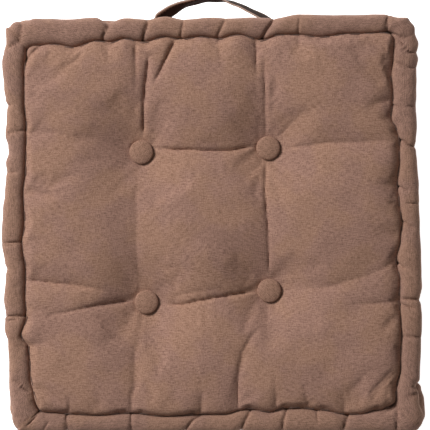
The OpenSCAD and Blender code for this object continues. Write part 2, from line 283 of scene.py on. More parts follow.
def grid_faces(rows, cols, closed=False):
    """Quads of a grid of points, row by row; closed joins the last column to the first."""
    i, j = np.meshgrid(np.arange(rows - 1), np.arange(cols if closed else cols - 1), indexing="ij")
    k = (j + 1) % cols
    quads = np.stack([i * cols + j, i * cols + k, (i + 1) * cols + k, (i + 1) * cols + j], axis=-1)
    return quads.reshape(-1, 4).tolist()


def apply_modifiers(piece):
    """Applies every modifier of a piece, in order."""
    bpy.ops.object.select_all(action="DESELECT")
    bpy.context.view_layer.objects.active = piece
    piece.select_set(True)
    for modifier in list(piece.modifiers):
        bpy.ops.object.modifier_apply(modifier=modifier.name)
    piece.select_set(False)


def settle(piece, body, material, replaced=()):
    """Gives a finished piece its body, material slot, material and the CAD nodes that it stands for."""
    piece.data.materials.clear()
    piece.data.materials.append(material)
    if body:
        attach(piece, body)
    if replaced:
        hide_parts(*replaced)
    return piece


def normals_of(grid):
    """Unit normals of a grid of points, from its two directions."""
    along = np.gradient(grid, axis=1)
    across = np.gradient(grid, axis=0)
    normal = np.cross(along, across)
    return normal / np.maximum(np.linalg.norm(normal, axis=2, keepdims=True), 1e-12)


def edge_loop(rows, cols):
    """Indices of a grid's border, once round."""
    first = [j for j in range(cols)]
    last = [i * cols + cols - 1 for i in range(1, rows)]
    back = [(rows - 1) * cols + j for j in range(cols - 2, -1, -1)]
    home = [i * cols for i in range(rows - 2, 0, -1)]
    return first + last + back + home


def closed_shell(name, upper, lower, uv, rings=()):
    """Closed mesh from two grids of points, in millimetres, joined round their borders through any rings."""
    rows, cols = upper.shape[:2]
    count = rows * cols
    border = edge_loop(rows, cols)
    verts = [upper.reshape(-1, 3), lower.reshape(-1, 3)] + list(rings)
    faces = grid_faces(rows, cols)
    faces += [[count + k for k in reversed(face)] for face in faces]
    loops = [border]
    for ring in range(len(rings)):
        start = 2 * count + ring * len(border)
        loops.append(list(range(start, start + len(border))))
    loops.append([count + k for k in border])
    for above, below in zip(loops[:-1], loops[1:]):
        for k in range(len(border)):
            nxt = (k + 1) % len(border)
            faces.append([above[k], below[k], below[nxt], above[nxt]])
    flat_uv = np.concatenate([uv.reshape(-1, 2)] * 2 + [uv.reshape(-1, 2)[border]] * len(rings))
    piece = new_mesh(name, np.concatenate(verts) * MM, faces, flat_uv)
    face_outwards(piece)
    return piece


SHARP_FROM = 1.2  # edges stay sharp past this angle, in radians


def face_outwards(piece):
    """Turns a closed mesh's faces outwards and smooths all but its sharp edges."""
    work = bmesh.new()
    work.from_mesh(piece.data)
    bmesh.ops.recalc_face_normals(work, faces=work.faces)
    work.to_mesh(piece.data)
    work.free()
    piece.data.shade_smooth()
    piece.data.set_sharp_from_angle(angle=SHARP_FROM)


# ---- The seams' paths ----

SEAM_HALF = SEAM / MM + 0.6
OUTER_HALF = HALF / MM
SHIFT_FROM = 0.45  # a seam's shift moves the panel from this share of its half width outwards
SEAM_CORNER_R = 10
OUTER_CORNER_R = 14
STRAIGHT = 0.93  # share of a side's parameter that is straight, the rest being half a corner at each end
OUT = {"front": (0, -1), "right": (1, 0), "back": (0, 1), "left": (-1, 0)}


def next_side(side, end):
    """The side that meets this one at its low (-1) or high (1) end."""
    if side in ("front", "back"):
        return "right" if end > 0 else "left"
    return "back" if end > 0 else "front"


def side_path(side, t, half, corner_r, shifts):
    """Plan points along a side, from the middle of one corner (t = -1) to the middle of the next (t = 1)."""
    size = np.abs(t)
    sign = np.sign(t)
    run = half - corner_r
    turn = np.clip((size - STRAIGHT) / (1 - STRAIGHT), 0, 1)
    angle = turn * math.pi / 4
    along = np.where(size < STRAIGHT, t / STRAIGHT * run, sign * (run + corner_r * np.sin(angle)))
    out = np.where(size < STRAIGHT, half, run + corner_r * np.cos(angle))
    out = out + curve_value(shifts[side], np.clip(along, -run, run))
    for end in (-1, 1):
        other = next_side(side, end)
        other_end = 1 if side in ("right", "back") else -1
        neighbour = curve_value(shifts[other], other_end * run + 0 * t)
        share = np.where(sign == end, turn * turn * (3 - 2 * turn), 0)
        along = along + end * neighbour * share
    return place_on_side(side, along, out)


def place_on_side(side, along, out):
    """Plan points from their places along a side and out from the middle."""
    nx, ny = OUT[side]
    if nx == 0:
        return np.stack([along, out * ny], axis=-1)
    return np.stack([out * nx, along], axis=-1)


# ---- The panels ----

PANEL_STEP = (1.35, 1.9)  # grid of the top and of the base panel
PANEL_LOFT = 18.5
PANEL_WAVES = ((0.9, 80), (0.35, 32))  # height and length of the slow unevenness
PANEL_SEED = 11
CROWN_POWER = 0.85  # below 1, a panel is fuller near its low places
SLOW_RISE = 0.22  # share of the loft that is reached slowly, away from the seam
SLOW_RISE_REACH = 45
CORNER_DROP = 0.22
CORNER_REACH = 30
VALLEY_POWER = 1.35
CREASE_DEPTH = 1.6
CREASE_WIDTH = 1.4
CREASE_TAPER = 0.12  # share of a crease over which it fades to half at each end
CREASE_FULL_AT = 4  # a crease is as deep as it can be where the cloth is this high
EDGE_SHARP = 2.9  # distance over which the cloth rises from its seam
RIGHT_EDGE_SOFTER = 2.8  # it rises more slowly along the right side
SEAM_LIFT = 0.31  # height of the seam over the seats, as a share of the loft
TUFT_SLOPE = 21.0
CLOTH_T = 1.0
UNDER_BUTTON = 0.3  # the cloth is pressed this far under a button's seat
HELD_FROM = 0.999  # share of the half width from which the seam holds the cloth
FLOOR_GAP = 0.15
FLOOR_SOFT = 1.6


def turned_over(folds):
    """The panel's folds as the base has them, seen from above."""
    return [([(px, -py) for px, py in points], *rest) for points, *rest in folds]


def panel_plan(step):
    """Plan grid of a panel with its border on the seam, and the flat cloth's grid."""
    n = int(round(2 * SEAM_HALF / step)) + 1
    b, a = np.meshgrid(np.linspace(-1, 1, n), np.linspace(-1, 1, n), indexing="ij")
    knee = 1 - SEAM_CORNER_R / SEAM_HALF
    p = np.clip((np.abs(a) - knee) / (1 - knee), 0, 1)
    q = np.clip((np.abs(b) - knee) / (1 - knee), 0, 1)
    x = np.where(p > 0, np.sign(a) * (knee + (1 - knee) * p * np.sqrt(1 - q * q / 2)), a) * SEAM_HALF
    y = np.where(q > 0, np.sign(b) * (knee + (1 - knee) * q * np.sqrt(1 - p * p / 2)), b) * SEAM_HALF
    share_x = smooth(SHIFT_FROM, 1.0, np.abs(a))
    share_y = smooth(SHIFT_FROM, 1.0, np.abs(b))
    right, left = curve_value(SEAM_SHIFT["right"], y), curve_value(SEAM_SHIFT["left"], y)
    back, front = curve_value(SEAM_SHIFT["back"], x), curve_value(SEAM_SHIFT["front"], x)
    moved_x = x + share_x * np.where(a > 0, right, -left)
    moved_y = y + share_y * np.where(b > 0, back, -front)
    return moved_x, moved_y, a, b


def rise_from_seam(t, sharp):
    """How far the cloth has risen at a distance from the seam: steeply at first, then slowly."""
    slow = 1 - SLOW_RISE + SLOW_RISE * (1 - np.exp(-t / SLOW_RISE_REACH))
    return (1 - (1 - SEAM_LIFT) * np.exp(-t / sharp)) * slow


def panel_rise(x, y, a, b, folds, seed, creased=True):
    """Rise of the panel over its seam and seats, in millimetres, with or without its sharp creases."""
    near, far = np.maximum(np.abs(a), np.abs(b)), np.minimum(np.abs(a), np.abs(b))
    sharp = EDGE_SHARP + RIGHT_EDGE_SOFTER * smooth(0, 0.12, a - np.abs(b))
    from_corner = (1 - far) * SEAM_HALF
    rise = rise_from_seam((1 - near) * SEAM_HALF, sharp)
    rise = rise * (1 - CORNER_DROP * np.exp(-from_corner / CORNER_REACH))
    for tuft in TUFTS:
        centre = TUFT_AT[tuft] / MM
        away = np.maximum(np.hypot(x - centre.x, y - centre.y) - BUTTON_R / MM + 1, 0)
        rise = rise * (1 - np.exp(-away / TUFT_SLOPE))
    for points, valley, width, _ in folds:
        away, along = to_line(x, y, points)
        depth = valley[0] * (1 - along) + valley[1] * along
        rise = rise * (1 - depth * np.exp(-(away / width) ** VALLEY_POWER))
    loft = PANEL_LOFT
    for k, (size, length) in enumerate(PANEL_WAVES):
        loft = loft + size * ripple(x, y, length, seed + k)
    height = loft * rise ** CROWN_POWER
    for points, _, _, crease in folds if creased else ():
        away, along = to_line(x, y, points)
        fade = smooth(0, CREASE_TAPER, along) * (1 - smooth(1 - CREASE_TAPER, 1.0, along)) * 0.5 + 0.5
        depth = CREASE_DEPTH * (crease[0] * (1 - along) + crease[1] * along) * fade
        height = height - depth * np.exp(-away / CREASE_WIDTH) * np.minimum(1, height / CREASE_FULL_AT)
    return height


SETTLE_STEP = 3.2
SETTLE_FRAMES = 20
SETTLE_CAP = 1.3
SPARE_CLOTH = 0.012  # how much more cloth there is than the plain shape needs
PRESSURE = 0.8
CLOTH_SETTINGS = {"quality": 6, "mass": 0.25, "tension_stiffness": 20, "compression_stiffness": 20,
                  "shear_stiffness": 8, "bending_stiffness": 0.4, "vertex_group_mass": "held",
                  "shrink_min": -SPARE_CLOTH, "use_pressure": True, "uniform_pressure_force": PRESSURE}


def settled(name, start, held):
    """Moves of a panel's points, in millimetres, as its spare cloth settles under the filling's push."""
    rows, cols = start.shape[:2]
    cloth = new_mesh(name, start.reshape(-1, 3) * MM, grid_faces(rows, cols))
    group = cloth.vertex_groups.new(name="held")
    for index in np.flatnonzero(held.ravel()):
        group.add([int(index)], 1.0, "REPLACE")
    modifier = cloth.modifiers.new("settling", "CLOTH")
    for key, value in CLOTH_SETTINGS.items():
        setattr(modifier.settings, key, value)
    modifier.settings.effector_weights.gravity = 0
    modifier.point_cache.frame_start = 1
    modifier.point_cache.frame_end = SETTLE_FRAMES
    for step in range(1, SETTLE_FRAMES + 1):
        bpy.context.scene.frame_set(step)
    view = cloth.evaluated_get(bpy.context.evaluated_depsgraph_get())
    found = np.empty(rows * cols * 3, np.float32)
    view.data.vertices.foreach_get("co", found)
    move = found.reshape(start.shape) / MM - start
    bpy.data.objects.remove(cloth)
    bpy.context.scene.frame_set(1)
    size = np.linalg.norm(move, axis=2, keepdims=True)
    return move * np.tanh(size / SETTLE_CAP) * SETTLE_CAP / np.maximum(size, 1e-9)


def between(four, t):
    """Value of a smooth curve through four even points, at a share t of the way between the middle two."""
    p0, p1, p2, p3 = four
    return 0.5 * (2 * p1 + (p2 - p0) * t + (2 * p0 - 5 * p1 + 4 * p2 - p3) * t ** 2
                  + (3 * p1 - p0 - 3 * p2 + p3) * t ** 3)


def finer(field, count):
    """A square grid's values carried smoothly to a finer grid."""
    for axis in (0, 1):
        last = field.shape[axis] - 1
        place = np.linspace(0, last, count)
        low = np.minimum(place.astype(int), last - 1)
        t = (place - low).reshape([-1 if k == axis else 1 for k in range(field.ndim)])
        field = between([np.take(field, np.clip(low + k, 0, last), axis) for k in (-1, 0, 1, 2)], t)
    return field


def panel_surface(level, step, creased=True):
    """Points of a panel before it settles, and where its cloth is held down by seam and buttons."""
    x, y, a, b = panel_plan(step)
    turn = (1, -1)[level]
    folds = PANEL_FOLDS if level == 0 else turned_over(PANEL_FOLDS)
    rise = panel_rise(x, y, a, b, folds, PANEL_SEED + level, creased)
    held = np.maximum(np.abs(a), np.abs(b)) > HELD_FROM
    for tuft in TUFTS:
        centre = TUFT_AT[tuft] / MM
        held |= np.hypot(x - centre.x, y - centre.y) < BUTTON_R / MM + 0.5
    z = SEAT[level] / MM - turn * UNDER_BUTTON + turn * rise
    return np.stack([x, y, z], axis=-1), held, a, b


def panel(level):
    """Top (level 0) or base (level 1) panel, drawn down at buttons, folds and seam; gives its surface."""
    name = ("top_panel_canvas", "base_panel_canvas")[level]
    turn = (1, -1)[level]
    outer, held, a, b = panel_surface(level, PANEL_STEP[level])
    rough, pinned, _, _ = panel_surface(level, SETTLE_STEP, creased=False)
    if level == 1:
        rough = rough[:, ::-1]
        pinned = pinned[:, ::-1]
    move = settled(f"{name}_settling", rough, pinned)
    if level == 1:
        move = move[:, ::-1]
    outer = outer + finer(move, len(a)) * (1 - held[..., None])
    if level == 1:
        outer[..., 2] = lie_flat(outer[..., 2])
    inner = outer - turn * CLOTH_T * normals_of(outer)
    uv = np.stack([a, b], axis=-1) * SEAM_HALF * MM
    piece = closed_shell(name, outer, inner, uv)
    node = ("top_panel", "base_panel")[level]
    settle(piece, "cushion", CANVAS_PANEL, [node])
    return outer


def lie_flat(z):
    """Heights pressed flat where the cushion rests on the floor, with a soft turn up beside it."""
    return FLOOR_GAP + np.log1p(np.exp((z - FLOOR_GAP) / FLOOR_SOFT)) * FLOOR_SOFT * 0.999


FILLING_STEP = 4
FILLING_INSET = 0.985  # its plan as a share of the panel's
FILLING_BELOW = 3.4  # clear of the panel at the seats
FILLING_RISE = 0.93  # share of the panel's rise
FILLING_LOWEST = 3.2
FILLING_RINGS = ((50, 1.07), (37, 1.075), (25, 1.07))  # heights at the gussets, and the spread there
GUSSET_CLEAR = 9.5


def filling():
    """Fibre filling just inside the panels and gussets."""
    x, y, a, b = panel_plan(FILLING_STEP)
    top = SEAT[0] / MM - FILLING_BELOW + panel_rise(x, y, a, b, PANEL_FOLDS, PANEL_SEED) * FILLING_RISE
    base_rise = panel_rise(x, y, a, b, turned_over(PANEL_FOLDS), PANEL_SEED + 1) * FILLING_RISE
    base = np.maximum(SEAT[1] / MM + FILLING_BELOW - base_rise, FILLING_LOWEST)
    upper = np.stack([x * FILLING_INSET, y * FILLING_INSET, top], axis=-1)
    lower = np.stack([x * FILLING_INSET, y * FILLING_INSET, base], axis=-1)
    border = edge_loop(*x.shape)
    rings = []
    reach = OUTER_HALF - GUSSET_CLEAR
    for z, spread in FILLING_RINGS:
        ring = upper.reshape(-1, 3)[border].copy()
        ring[:, :2] = np.clip(ring[:, :2] * spread, -reach, reach)
        ring[:, 2] = z
        rings.append(ring)
    piece = closed_shell("filling_fibre", upper, lower, np.stack([x, y], axis=-1) * MM, rings)
    settle(piece, "cushion", FIBRE, ["filling"])


# ---- The stuffed rolls ----

ROLL_POWER = 2.7  # squareness of a roll's section: 2 is a circle
LEAST_PINCHED = 0.55  # the deepest pinch leaves this share of the roll
ROLL_STEP = 1.0
ROLL_AROUND = 44
SEAM_BITE = 1.1  # the roll's cloth and the panel's press together this much at their seam
ROLL_UV_START = -2.6  # angle round the section where its cloth is joined, on the hidden side
ROLL_SEED = 40
ROLL_WAVES = ((0.018, 42), (0.010, 15))  # unevenness as a share of the roll, and its length
ROLL_END = 0.02  # share of a side over which a roll meets its neighbour's size
BASE_PINCH = 0.8  # the base rolls are pinched less
PINCH_LINE = 1.12  # a pinch is a narrow line ...
PINCH_NARROW = 0.6
PINCH_POWER = 1.1
PINCH_DIP = 0.22  # ... in a wide dip
PINCH_WIDE = 4
PINCH_TAPER = 0.2
WADDING_STEP = 5
WADDING_AROUND = 14
WADDING_SIZE = 0.46


def roll_folds(level):
    """Pinches of a roll: the base rolls take those of the side across, turned round."""
    if level == 0:
        return ROLL_FOLDS
    turned = []
    for points, depth, width in ROLL_FOLDS:
        turned.append(([(-px, -py) for px, py in points], depth * BASE_PINCH, width))
    return turned


def roll_sections(side, level, step, around, grow, pinched):
    """Rings of points along one roll, with the cloth's flat coordinates."""
    rows = int(round(2 * OUTER_HALF / step))
    t = np.linspace(-1, 1, rows)
    shifts = OUTER_SHIFT if level == 0 else BASE_OUTER_SHIFT
    inner = side_path(side, t, SEAM_HALF - SEAM_BITE, SEAM_CORNER_R, SEAM_SHIFT)
    outer = side_path(side, t, OUTER_HALF, OUTER_CORNER_R, shifts)
    centre = (inner + outer) / 2
    out = outer - inner
    reach = np.linalg.norm(out, axis=1, keepdims=True) / 2
    out = out / (2 * reach)
    phi = ROLL_UV_START + np.linspace(0, math.tau, around, endpoint=False)
    flat = np.sign(np.cos(phi)) * np.abs(np.cos(phi)) ** (2 / ROLL_POWER)
    high = np.sign(np.sin(phi)) * np.abs(np.sin(phi)) ** (2 / ROLL_POWER)
    turn = (1, -1)[level]
    size = np.full((rows, around), grow)
    if pinched:
        x = centre[:, :1] + out[:, :1] * reach * flat
        y = centre[:, 1:] + out[:, 1:] * reach * flat
        pinches = np.zeros((rows, around))
        facing = smooth(-0.75, 0.45, np.sin(phi)) * (1 - 0.75 * smooth(0.45, 1.0, np.cos(phi)))
        for points, depth, width in roll_folds(level):
            away, along = to_line(x, y, points)
            line = PINCH_LINE * np.exp(-(away / (PINCH_NARROW * width)) ** PINCH_POWER)
            dip = PINCH_DIP * np.exp(-(away / (PINCH_WIDE * width)) ** 2)
            fade = 0.6 + 0.4 * smooth(0, PINCH_TAPER, along) * (1 - smooth(1 - PINCH_TAPER, 1.0, along))
            pinches = pinches + depth * (line + dip) * fade * facing / (ROLL_R / MM)
        size = size - (1 - LEAST_PINCHED) * np.tanh(pinches / (1 - LEAST_PINCHED))
        seed = ROLL_SEED + 10 * level + SIDES.index(side)
        along_side = np.arange(rows)[:, None] * step
        bend = phi[None, :] * ROLL_R / MM
        for k, (uneven, length) in enumerate(ROLL_WAVES):
            size = size + uneven * ripple(along_side, bend, length, seed + 5 * k)
    ends = smooth(0, ROLL_END, 1 - np.abs(t))[:, None]
    size = size * ends + (1 - ends) * np.minimum(size, grow)
    x = centre[:, :1] + out[:, :1] * reach * flat * size
    y = centre[:, 1:] + out[:, 1:] * reach * flat * size
    z = ROLL_Z[level] / MM + turn * high * size * ROLL_R / MM
    if level == 1 and pinched:
        z = lie_flat(z)
    grid = np.stack([x, y, z], axis=-1)
    around_length = (phi[None, :] - ROLL_UV_START) * ROLL_R + 0 * size
    along_length = np.arange(rows)[:, None] * step * MM + 0 * size
    return grid, np.stack([along_length, around_length], axis=-1)


def closed_tube(name, grid, uv):
    """Closed mesh from rings of points in millimetres, capped by a fan at each end."""
    rows, cols = grid.shape[:2]
    faces = grid_faces(rows, cols, closed=True)
    verts = grid.reshape(-1, 3)
    caps = np.stack([grid[0].mean(axis=0), grid[-1].mean(axis=0)])
    for k in range(cols):
        nxt = (k + 1) % cols
        faces.append([rows * cols, nxt, k])
        faces.append([rows * cols + 1, (rows - 1) * cols + k, (rows - 1) * cols + nxt])
    flat = np.concatenate([uv.reshape(-1, 2), uv[0].mean(axis=0)[None], uv[-1].mean(axis=0)[None]])
    piece = new_mesh(name, np.concatenate([verts, caps]) * MM, faces, flat)
    face_outwards(piece)
    return piece


def rolls():
    """Canvas tubes round both seams and the wadding inside them."""
    for level, where in enumerate(("top", "base")):
        for side in SIDES:
            node = f"{where}_{side}_roll"
            grid, uv = roll_sections(side, level, ROLL_STEP, ROLL_AROUND, 1.0, True)
            roll = closed_tube(f"{node}_canvas", grid, uv)
            settle(roll, "cushion", SHADED_CANVAS_ROLL[side], [node])
            grid, uv = roll_sections(side, level, WADDING_STEP, WADDING_AROUND, WADDING_SIZE, False)
            wadding = closed_tube(f"{node}_wadding_fibre", grid, uv)
            settle(wadding, "cushion", FIBRE, [f"{node}_wadding"])


# ---- The gussets ----

GUSSET_STEP = 2.0
GUSSET_BULGE = 2.6
GUSSET_CORNER_R = 16
GUSSET_ROWS = 33
GUSSET_SEED = 70
STRAP_FLAT = (86, 130)  # flat under the strap up to the first place, and free from the second
NO_SHIFT = {side: [(-200, 0), (200, 0)] for side in SIDES}


def gusset(side):
    """Side band between the two rolls, bulging a little, with puckers at its seams."""
    low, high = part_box(f"{side}_gusset")
    heights = np.linspace(low.z / MM, high.z / MM, GUSSET_ROWS)[:, None]
    half_gap = (high.z - low.z) / MM / 2
    t = np.linspace(-1, 1, int(round(2 * OUTER_HALF / GUSSET_STEP)))
    base_path = side_path(side, t, OUTER_HALF - GUSSET_INSET / MM, GUSSET_CORNER_R, NO_SHIFT)
    step = np.gradient(base_path, axis=0)
    normal = np.stack([step[:, 1], -step[:, 0]], axis=-1)
    normal = normal / np.linalg.norm(normal, axis=1, keepdims=True)
    normal = normal * np.sign((normal * base_path).sum(axis=1, keepdims=True))
    along = base_path[:, 1 if OUT[side][0] else 0]
    free = smooth(*STRAP_FLAT, np.abs(along)) if side == "back" else np.ones_like(along)
    height = (heights - MIDDLE_Z / MM) / half_gap
    seed = GUSSET_SEED + SIDES.index(side)
    bulge = (1 - height ** 2) * (GUSSET_BULGE + 0.9 * ripple(along, 0 * along, 70, seed)) * free
    pucker = 0.45 * ripple(along, 0 * along, 13, seed + 1) * np.abs(height) ** 1.5
    pucker = pucker + 0.25 * ripple(along + 0 * heights, heights * 0.35, 22, seed + 2)
    out = bulge + pucker * (0.2 + 0.8 * free) - 1.2 * np.abs(height) ** 6
    outer = np.empty(out.shape + (3,))
    outer[..., :2] = base_path[None] + normal[None] * out[..., None]
    outer[..., 2] = heights
    inner = outer.copy()
    inner[..., :2] -= normal[None] * CLOTH_T
    uv = np.stack(np.broadcast_arrays(t[None] * OUTER_HALF, heights), axis=-1)
    piece = closed_shell(f"{side}_gusset_canvas", outer, inner, uv * MM)
    settle(piece, "cushion", CANVAS_GUSSET, [f"{side}_gusset"])


# ---- Covered buttons ----

BUTTON_RIM = 3.0 * MM
BUTTON_DOME = 2.4 * MM
# Insets of a cover's face and back: (share of the radius, lift as a share of the dome)
BUTTON_INSETS = ((1, ((0.06, 0.30), (0.16, 0.30), (0.26, 0.24), (0.28, 0.16))),
                 (-1, ((0.14, 0.10), (0.5, 0.02))))
GATHERS = 26
GATHER_DEPTH = 0.035


def covered_button():
    """One button cover: a domed disc whose cloth is gathered under its rim."""
    bpy.ops.object.select_all(action="DESELECT")
    bpy.ops.mesh.primitive_cylinder_add(vertices=48, radius=BUTTON_R, depth=BUTTON_RIM,
                                        location=(0, 0, BUTTON_RIM / 2))
    cover = bpy.context.object
    bpy.ops.object.transform_apply(location=True)
    bpy.ops.object.mode_set(mode="EDIT")
    for facing, insets in BUTTON_INSETS:
        select_face(cover, lambda face: face.normal.z * facing > 0.9)
        for inset, lift in insets:
            bpy.ops.mesh.inset(thickness=BUTTON_R * inset)
            bpy.ops.transform.translate(value=(0, 0, facing * BUTTON_DOME * lift))
        bpy.ops.mesh.poke()
    bpy.ops.object.mode_set(mode="OBJECT")
    smoothing = cover.modifiers.new("smoothing", "SUBSURF")
    smoothing.levels = smoothing.render_levels = 2
    apply_modifiers(cover)
    gather = np.array([v.co[:] for v in cover.data.vertices])
    angle = np.arctan2(gather[:, 1], gather[:, 0])
    radius = np.hypot(gather[:, 0], gather[:, 1])
    depth = smooth(0.90, 1.0, radius / BUTTON_R) * smooth(0.75, 0.2, gather[:, 2] / BUTTON_RIM)
    pleat = 1 - GATHER_DEPTH * depth * (0.5 + 0.5 * np.cos(angle * GATHERS + 1.3 * np.sin(3 * angle)))
    gather[:, :2] *= pleat[:, None] * BUTTON_R / radius.max()
    cover.data.vertices.foreach_set("co", gather.ravel())
    while cover.data.uv_layers:
        cover.data.uv_layers.remove(cover.data.uv_layers[0])
    mark_cloth(cover.data, gather[:, :2])
    cover.data.shade_smooth()
    return cover


def select_face(piece, wanted):
    """Selects, in edit mode, the faces that a test picks out."""
    bpy.ops.mesh.select_mode(type="FACE")
    bpy.ops.mesh.select_all(action="DESELECT")
    work = bmesh.from_edit_mesh(piece.data)
    for face in work.faces:
        face.select = wanted(face)
    bmesh.update_edit_mesh(piece.data)


def buttons():
    """Eight covers, one over each CAD shell, those under the base turned over."""
    pattern = covered_button()
    for level, where in enumerate(("top", "base")):
        for k, tuft in enumerate(TUFTS):
            node = f"{where}_{tuft}_button_cover"
            cover = linked(f"{node}_canvas", pattern.data.copy())
            low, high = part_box(node)
            centre = (low + high) / 2
            seat = Vector((centre.x, centre.y, low.z if level == 0 else high.z))
            turn = Matrix.Rotation(0.4 + 1.9 * k, 4, "Z")
            if level == 1:
                turn = Matrix.Rotation(math.pi, 4, "X") @ turn
            cover.data.transform(Matrix.Translation(seat) @ turn)
            settle(cover, "cushion", CANVAS_BUTTON, [node])
    bpy.data.objects.remove(pattern)


# ---- The carrying strap ----

STRAP_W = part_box("handle_strap")[1].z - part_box("handle_strap")[0].z
STRAP_T = 2.4 * MM
STRAP_Z = middle("handle_strap").z
# Plan route of the loop, in millimetres, and how far its top edge leans outwards, in degrees
STRAP_ROUTE = [(-58, 195.4), (-54, 196.5), (-49, 200), (-40, 206.5), (-28, 212.5), (-12, 216.8), (0, 217.8),
               (12, 216.5), (27, 211.5), (41, 204.8), (53, 199.0), (60, 196.0), (64, 195.4)]
STRAP_LEAN = [(0, 6), (0.07, 28), (0.15, 24), (0.30, 11), (0.5, 7), (0.66, -13), (0.88, -18), (1.0, -6)]
TAB_LENGTH = 20
STRAP_POINTS = 23  # points across each face of the strap
SEWN_ROW = 2.6  # the strap's own rows of stitches lie this far in from its edges
STITCHED_DOWN = 0.28  # share of the thickness that they draw in


def smooth_route(points, count):
    """Evenly spaced points of a smooth curve through the given ones."""
    pts = np.array(points, float)
    padded = np.concatenate([[2 * pts[0] - pts[1]], pts, [2 * pts[-1] - pts[-2]]])
    fine = []
    for i in range(len(pts) - 1):
        fine.extend(between(padded[i:i + 4], t) for t in np.linspace(0, 1, 24, endpoint=False))
    fine.append(pts[-1])
    fine = np.array(fine)
    run = np.concatenate([[0], np.cumsum(np.hypot(*np.diff(fine, axis=0).T))])
    even = np.linspace(0, run[-1], count)
    return np.stack([np.interp(even, run, fine[:, k]) for k in range(2)], axis=-1), even


def band(name, points, count, lean):
    """Folded strap of canvas along a plan route, standing on edge, with its top edge's lean in degrees."""
    path, run = smooth_route(points, count)
    tangent = np.gradient(path, axis=0)
    tangent /= np.linalg.norm(tangent, axis=1, keepdims=True)
    angle = np.radians(curve_value(lean, run / run[-1]))
    out = np.stack([-tangent[:, 1], tangent[:, 0], np.zeros(count)], axis=-1)
    up = np.array([[0.0, 0.0, 1.0]])
    width_way = np.cos(angle)[:, None] * up + np.sin(angle)[:, None] * out
    thick_way = np.cos(angle)[:, None] * out - np.sin(angle)[:, None] * up
    half_w, half_t = STRAP_W / MM / 2, STRAP_T / MM / 2
    across = np.concatenate([np.linspace(-1, 1, STRAP_POINTS), np.linspace(1, -1, STRAP_POINTS)])
    face = np.concatenate([np.ones(STRAP_POINTS), -np.ones(STRAP_POINTS)])
    edge = half_w - half_t
    offset_w, offset_t = across * edge, face * half_t
    for k in (0, STRAP_POINTS - 1, STRAP_POINTS, 2 * STRAP_POINTS - 1):
        offset_w[k] = np.sign(across[k]) * (edge + half_t * 0.75)
        offset_t[k] *= 0.55
    stitched = np.exp(-((np.abs(offset_w) - (half_w - SEWN_ROW)) / 0.7) ** 2)
    offset_t = offset_t * (1 - STITCHED_DOWN * stitched)
    cockle = 0.28 * ripple(run[:, None] + 0 * offset_w, offset_w[None], 17, 91)
    towards_edge = np.sign(offset_w) * (np.abs(offset_w) / half_w) ** 2
    waver = 0.35 * ripple(run, 0 * run, 24, 92)[:, None] * towards_edge[None]
    spine = np.concatenate([path, np.full((count, 1), STRAP_Z / MM)], axis=1)
    grid = (spine[:, None] + width_way[:, None] * (offset_w[None] + waver)[..., None]
            + thick_way[:, None] * (offset_t[None] + cockle * 0.8)[..., None])
    round_length = np.concatenate([[0], np.cumsum(np.hypot(np.diff(offset_w), np.diff(offset_t)))])
    uv = np.stack(np.broadcast_arrays(run[:, None], round_length[None]), axis=-1) * MM
    return closed_tube(name, grid, uv)


def strap():
    """The strap: a loop, kept out of the cushion's body, and two ends sewn flat to the back gusset."""
    loop = band("handle_strap_canvas", STRAP_ROUTE, 110, STRAP_LEAN)
    settle(loop, None, CANVAS_STRAP, ["handle_strap"])
    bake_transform(loop)
    ends = (("handle_left_tab", STRAP_ROUTE[0], -1), ("handle_right_tab", STRAP_ROUTE[-1], 1))
    for node, start, way in ends:
        route = [(start[0] + way * TAB_LENGTH * k / 4, start[1]) for k in range(5)]
        if way < 0:
            route.reverse()
            lean = [(0, 0), (1, STRAP_LEAN[0][1])]
        else:
            lean = [(0, STRAP_LEAN[-1][1]), (1, 0)]
        tab = band(f"{node}_canvas", route, 24, lean)
        settle(tab, "cushion", CANVAS_STRAP, [node])


# ---- Sewing ----

THREAD_R = 0.42 * MM
STITCH_ENDS = ((0.7, 0.25, 0.85), (0.6, 0.7, 0.6))  # steps outwards and down, share of thickness kept
EDGE_STITCH = 7.2 * MM
EDGE_STITCHES = 24  # on each side
FROM_SEAM = 1.1
STRAP_STITCH = 2.2 * MM
STRAP_STITCH_ROWS = (9, 16)
STRAP_STITCH_PITCH = 3.9 * MM


def thread_stitch(length):
    """One stitch of thread along X: a short rod whose ends dip into the cloth."""
    bpy.ops.object.select_all(action="DESELECT")
    bpy.ops.mesh.primitive_cylinder_add(vertices=6, radius=THREAD_R, depth=length,
                                        rotation=(0, math.pi / 2, 0))
    stitch = bpy.context.object
    bpy.ops.object.transform_apply(rotation=True)
    bpy.ops.object.mode_set(mode="EDIT")
    for end in (-1, 1):
        select_face(stitch, lambda face: face.normal.x * end > 0.9)
        for out, down, size in STITCH_ENDS:
            step = (end * out * MM, 0, -down * MM)
            bpy.ops.mesh.extrude_region_move(TRANSFORM_OT_translate={"value": step})
            bpy.ops.transform.resize(value=(size, size, size))
    bpy.ops.object.mode_set(mode="OBJECT")
    return stitch


def sew(name, pattern, places, body, nodes):
    """Copies of a stitch joined into one piece: places are (point, direction along, direction up)."""
    joined = bmesh.new()
    for point, along, up in places:
        along = Vector(along).normalized()
        side = Vector(up).cross(along).normalized()
        turn = Matrix((along, side, along.cross(side))).transposed().to_4x4()
        copy = pattern.data.copy()
        copy.transform(Matrix.Translation(Vector(point)) @ turn)
        joined.from_mesh(copy)
        bpy.data.meshes.remove(copy)
    mesh = bpy.data.meshes.new(name)
    joined.to_mesh(mesh)
    joined.free()
    mesh.shade_smooth()
    piece = linked(name, mesh)
    face_outwards(piece)
    settle(piece, body, THREAD, nodes)


